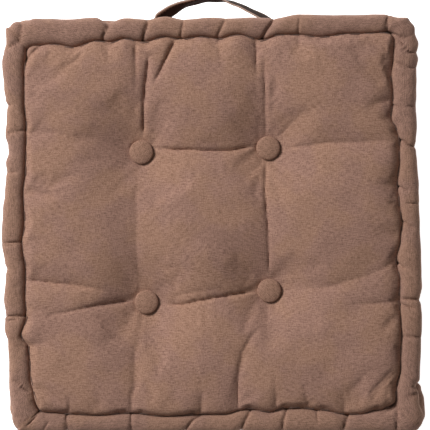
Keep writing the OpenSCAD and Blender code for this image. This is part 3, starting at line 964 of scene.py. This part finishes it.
def edge_sewing(level, surface):
    """Stitches along the inside of the rolls, lying on the panel's edge all the way round."""
    where = ("top", "base")[level]
    turn = (1, -1)[level]
    pattern = thread_stitch(EDGE_STITCH)
    points = surface.reshape(-1, 3)
    places = []
    for side in SIDES:
        t = np.linspace(-STRAIGHT, STRAIGHT, EDGE_STITCHES)
        path = side_path(side, t, SEAM_HALF - FROM_SEAM, SEAM_CORNER_R, SEAM_SHIFT)
        ahead = side_path(side, t + 0.01, SEAM_HALF - FROM_SEAM, SEAM_CORNER_R, SEAM_SHIFT)
        for spot, after in zip(path, ahead):
            nearest = points[np.argmin(((points[:, :2] - spot) ** 2).sum(axis=1))]
            along = (after[0] - spot[0], after[1] - spot[1], 0)
            lift = nearest[2] + turn * 0.3
            places.append(((spot[0] * MM, spot[1] * MM, lift * MM), along, (0, 0, turn)))
    sew(f"{where}_edge_stitching_thread", pattern, places, "cushion", [f"{where}_edge_stitching"])
    bpy.data.objects.remove(pattern)


def strap_sewing():
    """Rows of stitches across the strap's sewn-down ends."""
    pattern = thread_stitch(STRAP_STITCH)
    outer = STRAP_ROUTE[0][1] * MM + STRAP_T / 2 + 0.12 * MM
    places = []
    for end in (-1, 1):
        for row in STRAP_STITCH_ROWS:
            for k in range(5):
                x = (STRAP_ROUTE[0][0] if end < 0 else STRAP_ROUTE[-1][0]) + end * row
                z = STRAP_Z + (k - 2) * STRAP_STITCH_PITCH
                places.append(((x * MM, outer, z), (0, 0, 1), (0, 1, 0)))
    sew("handle_stitching_thread", pattern, places, "cushion", ["handle_stitching"])
    bpy.data.objects.remove(pattern)


# ---- Shader building ----


class Tone:
    """A socket in a material's shader: arithmetic on it adds Math nodes."""

    def __init__(self, maker, socket):
        self.maker = maker
        self.socket = socket

    def __add__(self, other):
        return self.maker.math("ADD", self, other)

    def __radd__(self, other):
        return self.maker.math("ADD", other, self)

    def __sub__(self, other):
        return self.maker.math("SUBTRACT", self, other)

    def __rsub__(self, other):
        return self.maker.math("SUBTRACT", other, self)

    def __mul__(self, other):
        return self.maker.math("MULTIPLY", self, other)

    def __rmul__(self, other):
        return self.maker.math("MULTIPLY", other, self)


class Finish:
    """One material and the ways to add nodes to it."""

    def __init__(self, name):
        self.material = bpy.data.materials.new(name)
        self.material.use_nodes = True
        self.tree = self.material.node_tree
        self.shader = self.tree.nodes["Principled BSDF"]

    def node(self, kind, settings=None, inputs=None, output=0):
        """A node of a type, with its settings first and then the values or links of its sockets."""
        made = self.tree.nodes.new(kind)
        for key, value in (settings or {}).items():
            if key == "stops":
                for stop, (place, colour) in zip(made.color_ramp.elements, value):
                    stop.position = place
                    stop.color = colour
            else:
                setattr(made, key, value)
        for key, value in (inputs or {}).items():
            self.feed(made.inputs[key], value)
        return Tone(self, made.outputs[output])

    def feed(self, socket, value):
        """Links a Tone into a socket, or sets a plain value on it."""
        if isinstance(value, Tone):
            self.tree.links.new(value.socket, socket)
        else:
            socket.default_value = value

    def math(self, operation, *values):
        return self.node("ShaderNodeMath", {"operation": operation}, dict(enumerate(values)))

    def blend(self, share, first, second):
        """Mix of two colours."""
        return self.node("ShaderNodeMix", {"data_type": "RGBA"}, {0: share, 6: first, 7: second}, 2)

    def limits(self, value, low, high, to_low=0.0, to_high=1.0):
        """A value carried smoothly from one range to another, and kept inside it."""
        inputs = {0: value, 1: low, 2: high, 3: to_low, 4: to_high}
        return self.node("ShaderNodeMapRange", {"interpolation_type": "SMOOTHSTEP"}, inputs)

    def noise(self, place, scale, detail=2.0, rough=0.5):
        return self.node("ShaderNodeTexNoise", {}, {"Vector": place, "Scale": scale, "Detail": detail,
                                                    "Roughness": rough})

    def scaled(self, place, sizes, shift=(0, 0, 0)):
        """Coordinates stretched by three factors and moved."""
        return self.node("ShaderNodeMapping", {}, {"Vector": place, "Scale": sizes, "Location": shift})

    def parts(self, place):
        """X and Y of some coordinates."""
        split = self.tree.nodes.new("ShaderNodeSeparateXYZ")
        self.feed(split.inputs[0], place)
        return Tone(self, split.outputs[0]), Tone(self, split.outputs[1])

    def bump(self, height, distance, strength=1.0):
        inputs = {"Height": height, "Distance": distance, "Strength": strength}
        self.feed(self.shader.inputs["Normal"], self.node("ShaderNodeBump", {}, inputs))

    def surface(self, **values):
        """Sets the shader's own sockets: a name's underlines stand for spaces."""
        for key, value in values.items():
            self.feed(self.shader.inputs[key.replace("_", " ")], value)


def rgb(red, green, blue):
    """Linear colour with alpha, from one in 0 to 255 display values."""
    return tuple(((c / 255 + 0.055) / 1.055) ** 2.4 for c in (red, green, blue)) + (1.0,)


YARN = 1.1 * MM  # distance between neighbouring yarns


def slub_canvas(name, light, dark, warm, cool, depth=0.16 * MM, shift=(0, 0, 0)):
    """Plain-weave cotton canvas of uneven yarns: thick slubs, pale flecks and a slow drift of shade."""
    cloth = Finish(name)
    flat = cloth.node("ShaderNodeUVMap", {"uv_map": "cloth"})
    place = cloth.scaled(flat, (1, 1, 1), shift)
    drift = cloth.noise(place, 26, 3)
    u, v = cloth.parts(place)
    wander_u = u + (cloth.noise(cloth.scaled(place, (90, 14, 1)), 1.0, 1) - 0.5) * (0.9 * MM)
    wander_v = v + (cloth.noise(cloth.scaled(place, (14, 90, 1), (3, 7, 0)), 1.0, 1) - 0.5) * (0.9 * MM)
    wave_u = cloth.math("SINE", wander_u * (math.pi / YARN))
    wave_v = cloth.math("SINE", wander_v * (math.pi / YARN))
    over = cloth.limits(wave_u * wave_v, -0.35, 0.35)
    warp = cloth.math("ABSOLUTE", wave_u)
    weft = cloth.math("ABSOLUTE", wave_v)
    warp_slub = cloth.noise(cloth.scaled(place, (1150, 230, 1), (1.7, 0, 0)), 1.0, 2, 0.6)
    weft_slub = cloth.noise(cloth.scaled(place, (190, 1150, 1), (0, 4.1, 0)), 1.0, 2, 0.6)
    yarn = over * (warp * (0.55 + 0.9 * warp_slub)) + (1 - over) * (weft * (0.55 + 0.9 * weft_slub))
    fleck = over * warp_slub + (1 - over) * weft_slub
    fuzz = cloth.noise(place, 2600, 2, 0.6)
    row = cloth.noise(cloth.scaled(place, (200, 1110, 1), (0, 2.3, 0)), 1.0, 2, 0.6)
    column = cloth.noise(cloth.scaled(place, (1040, 330, 1), (5.1, 0, 0)), 1.0, 2, 0.6)
    nub = row * 0.65 + column * 0.35
    speck = cloth.limits(cloth.noise(cloth.scaled(place, (480, 960, 1), (2.2, 1.1, 0)), 1.0, 1), 0.66, 0.76)
    tone = cloth.limits(fleck * 0.70 + yarn * 0.30 + fuzz * 0.15 + nub * 1.05 + speck * 0.22, 0.79, 1.41)
    shade = cloth.blend(cloth.limits(drift, 0.40, 0.60), warm, cool)
    woven = cloth.blend(tone, dark, light)
    cloth.surface(Base_Color=cloth.blend(0.38, woven, cloth.blend(tone * 0.5 + 0.25, shade, shade)))
    cloth.surface(Roughness=cloth.limits(fuzz, 0.3, 0.7, 0.86, 0.96), Specular_IOR_Level=0.22)
    cloth.surface(Sheen_Weight=0.22, Sheen_Roughness=0.45, Sheen_Tint=rgb(205, 178, 160))
    cloth.bump(yarn + fleck * 0.9 + fuzz * 0.25 + nub * 0.8, depth)
    return cloth.material


def strap_canvas():
    """The strap's canvas, in browns darkened as painted shade and darkest on its inner face, with a painted
    highlight along its folded edges.
    """
    cloth = Finish("slub_canvas_strap")
    flat = cloth.node("ShaderNodeUVMap", {"uv_map": "cloth"})
    u, v = cloth.parts(flat)
    turn = STRAP_W + STRAP_T * 0.6
    from_edge = cloth.math("PINGPONG", v, turn / 2)
    # width of the painted highlight band along the folded edges, widening further along the strap
    reach = cloth.limits(u, 45 * MM, 85 * MM, 0.8 * MM, 1.9 * MM)
    edge_highlight = 1 - cloth.limits(from_edge - reach, 0.0, 1.8 * MM)
    # mask of the inner face, which takes the darkest browns below: painted shade of the face turned from the
    # light
    inner = cloth.limits(v, STRAP_W, turn)
    rib = cloth.math("SINE", u * (math.tau / (1.4 * MM)))
    grain = cloth.noise(cloth.scaled(flat, (900, 300, 1)), 1.0, 3, 0.6)
    stitch = cloth.math("SINE", u * (math.tau / (3.2 * MM)))
    row = cloth.limits(from_edge, 2.0 * MM, 2.6 * MM) * (1 - cloth.limits(from_edge, 2.8 * MM, 3.4 * MM))
    thread = row * cloth.limits(stitch, -0.2, 0.4)
    # both faces' browns are painted shade of a strap in shadow; the inner face's are darker still
    face = cloth.blend(inner, cloth.blend(grain, rgb(30, 19, 14), rgb(60, 41, 32)),
                       cloth.blend(grain, rgb(36, 27, 25), rgb(70, 53, 47)))
    # pale colour along the folded edges: painted highlight where the edges catch the light
    shade_and_edge_highlight = cloth.blend(edge_highlight * (0.62 + 0.5 * grain), face, rgb(192, 164, 148))
    cloth.surface(Base_Color=cloth.blend(thread * 0.8, shade_and_edge_highlight, rgb(138, 108, 92)), Sheen_Weight=0.02)
    cloth.surface(Roughness=cloth.limits(grain, 0.3, 0.7, 0.84, 0.95), Specular_IOR_Level=0.06)
    cloth.bump(grain + rib * 0.25 + thread * 1.5, 0.2 * MM)
    return cloth.material


def spun_thread(name, light, dark, pitch=1.1 * MM):
    """Twisted cotton thread or twine, read from the object's own coordinates."""
    cord = Finish(name)
    place = cord.node("ShaderNodeTexCoord", {}, {}, 3)
    x, y = cord.parts(place)
    ply = cord.math("SINE", (x + y) * (math.tau / pitch))
    fibre = cord.noise(place, 1800, 2)
    cord.surface(Base_Color=cord.blend(cord.limits(ply * 0.35 + fibre, 0.1, 0.9), dark, light))
    cord.surface(Sheen_Weight=0.3, Roughness=cord.limits(fibre, 0.3, 0.7, 0.75, 0.92))
    cord.bump(ply * 0.5 + fibre, 0.12 * MM)
    return cord.material


def cotton_fibre(name):
    """Loose carded cotton of the filling and waddings."""
    fluff = Finish(name)
    place = fluff.node("ShaderNodeTexCoord", {}, {}, 3)
    clump = fluff.noise(place, 60, 4)
    strand = fluff.noise(fluff.scaled(place, (1, 3, 2)), 600, 3)
    clumped = fluff.limits(clump, 0.3, 0.7)
    fluff.surface(Base_Color=fluff.blend(clumped, rgb(206, 198, 182), rgb(236, 231, 220)))
    fluff.surface(Roughness=fluff.limits(strand, 0.3, 0.7, 0.88, 0.98), Sheen_Weight=0.4)
    fluff.bump(clump + strand * 0.3, 1.2 * MM)
    return fluff.material


def pressed_metal(name):
    """Dull zinc-plated steel of the button shells and backs."""
    metal = Finish(name)
    place = metal.node("ShaderNodeTexCoord", {}, {}, 3)
    scuff = metal.noise(place, 900, 3)
    stain = metal.noise(place, 90, 3)
    stained = metal.limits(stain, 0.3, 0.7)
    metal.surface(Base_Color=metal.blend(stained, rgb(150, 152, 155), rgb(186, 187, 188)))
    metal.surface(Metallic=1.0, Roughness=metal.limits(scuff, 0.3, 0.7, 0.3, 0.5))
    metal.bump(scuff, 0.02 * MM)
    return metal.material


# ---- Finishes ----

CANVAS_PANEL = slub_canvas("slub_canvas_panel", rgb(196, 155, 134), rgb(98, 70, 57),
                           rgb(151, 112, 89), rgb(138, 102, 93))
CANVAS_GUSSET = slub_canvas("slub_canvas_gusset", rgb(194, 153, 132), rgb(97, 69, 57), rgb(149, 111, 88),
                            rgb(137, 102, 92), shift=(0.3, 0.1, 0))
# The rolls' canvas is the panel's cloth painted a little darker, as painted shade of the less lit rolls; the
# four copies differ only in where their weave starts.
SHADED_CANVAS_ROLL = {}
for side, offset in zip(SIDES, (0.15, 0.5, 0.85, 1.2)):
    SHADED_CANVAS_ROLL[side] = slub_canvas(f"slub_canvas_{side}_roll", rgb(186, 147, 127), rgb(91, 65, 54),
                                    rgb(141, 105, 84), rgb(130, 97, 87), shift=(offset, offset / 3, 0))
CANVAS_BUTTON = slub_canvas("slub_canvas_button", rgb(184, 145, 124), rgb(90, 64, 52), rgb(140, 103, 83),
                            rgb(129, 96, 86), depth=0.1 * MM, shift=(2.1, 0.7, 0))
CANVAS_STRAP = strap_canvas()
THREAD = spun_thread("sewing_thread", rgb(120, 88, 72), rgb(84, 58, 46))
TWINE = spun_thread("tufting_twine", rgb(196, 178, 148), rgb(140, 120, 92), pitch=2.2 * MM)
FIBRE = cotton_fibre("carded_cotton")
METAL = pressed_metal("button_steel")


def finish_cad_nodes():
    """Materials of the CAD nodes that stay: shells, backs and twines."""
    for name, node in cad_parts.items():
        material = None
        if name.endswith(("_button_shell", "_button_back")):
            material = METAL
        if name.endswith("_tuft_twine"):
            material = TWINE
        if material:
            node.data.materials.clear()
            node.data.materials.append(material)


# ---- The studio ----

CAMERA_HEIGHT = 2.5
VIEW_CENTRE = (0.0029, 0.0081)
VIEW_WIDTH = 0.4115
SENSOR = 36.0
FLOOR_SIZE = 6
AIM = Vector((0, 0, 0.04))
AIR = 0.19
LIGHTS = (("key", (-2.7, 1.95, 2.5), 1.7, 200),)


def studio():
    """White floor, a big soft light from the back left and a camera straight overhead."""
    scene = bpy.context.scene
    scene.view_settings.view_transform = "Standard"
    scene.view_settings.look = "None"
    view = bpy.data.cameras.new("camera")
    view.sensor_width = SENSOR
    view.lens = SENSOR * (CAMERA_HEIGHT - ROLL_TOP) / VIEW_WIDTH
    camera = bpy.data.objects.new("camera", view)
    camera.location = (*VIEW_CENTRE, CAMERA_HEIGHT)
    scene.collection.objects.link(camera)
    scene.camera = camera
    bpy.ops.object.select_all(action="DESELECT")
    bpy.ops.mesh.primitive_plane_add(size=FLOOR_SIZE, location=(0, 0, 0))
    floor = bpy.context.object
    floor.name = "floor"
    paper = Finish("white_paper")
    paper.surface(Base_Color=(0.9, 0.9, 0.9, 1), Roughness=0.9)
    paper.surface(Emission_Color=(1, 1, 1, 1), Emission_Strength=0.9)
    floor.data.materials.append(paper.material)
    world = bpy.data.worlds.new("studio_air")
    scene.world = world
    world.use_nodes = True
    air = world.node_tree.nodes["Background"]
    air.inputs["Color"].default_value = (1, 1, 1, 1)
    air.inputs["Strength"].default_value = AIR
    for name, place, size, power in LIGHTS:
        lamp = bpy.data.lights.new(name, "AREA")
        lamp.shape = "DISK"
        lamp.size = size
        lamp.energy = power
        light = bpy.data.objects.new(name, lamp)
        light.location = place
        light.rotation_euler = (AIM - Vector(place)).to_track_quat("-Z", "Y").to_euler()
        scene.collection.objects.link(light)

# ---- Making it all ----

studio()
finish_cad_nodes()
filling()
for level in (0, 1):
    edge_sewing(level, panel(level))
rolls()
for side in SIDES:
    gusset(side)
buttons()
strap()
strap_sewing()
